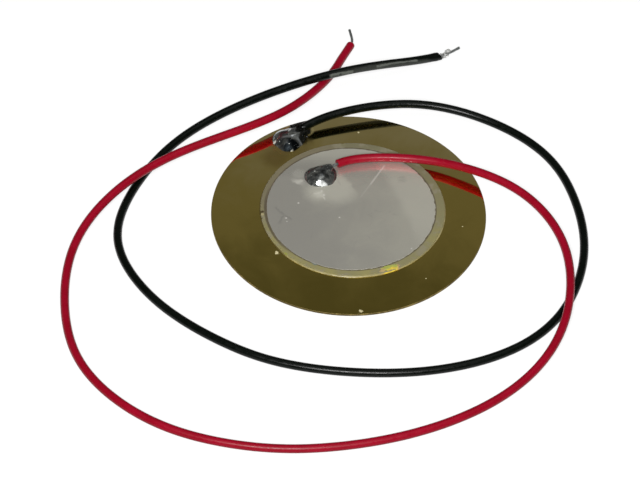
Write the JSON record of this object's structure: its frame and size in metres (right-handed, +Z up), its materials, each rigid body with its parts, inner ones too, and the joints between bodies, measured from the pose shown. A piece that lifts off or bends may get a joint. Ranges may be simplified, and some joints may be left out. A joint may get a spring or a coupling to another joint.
{
  "type": "piezo disc",
  "caption": "Round piezo bender: ceramic disc with silver electrodes bonded to a thin brass plate, with a red and a black soldered lead lying in loops around it.",
  "frame": {"origin": "centre of the brass plate's underside", "axes": "+Z up, normal to the plate, from the brass towards the ceramic; +Y from the plate's centre towards the side where the black lead's joint is and both leads end; +X to the right of it"},
  "size_m": [0.0662, 0.0741, 0.0031],
  "materials": {
    "brass": "bright rolled brass, slightly tarnished",
    "epoxy": "clear amber epoxy",
    "silver": "fired silver paste, satin",
    "ceramic": "unglazed sintered ceramic",
    "solder": "shiny solder with flux",
    "tinned_copper": "tinned copper strands",
    "black_pvc": "semi-gloss PVC",
    "red_pvc": "semi-gloss PVC"
  },
  "bodies": {
    "root": {"brass_plate": "brass", "adhesive_layer": "epoxy", "lower_electrode": "silver", "ceramic_disc": "ceramic", "upper_electrode": "silver", "plate_solder": "solder", "electrode_solder": "solder", "black_conductor": "tinned_copper", "black_insulation": "black_pvc", "red_conductor": "tinned_copper", "red_insulation": "red_pvc"}
  },
  "joints": []
}
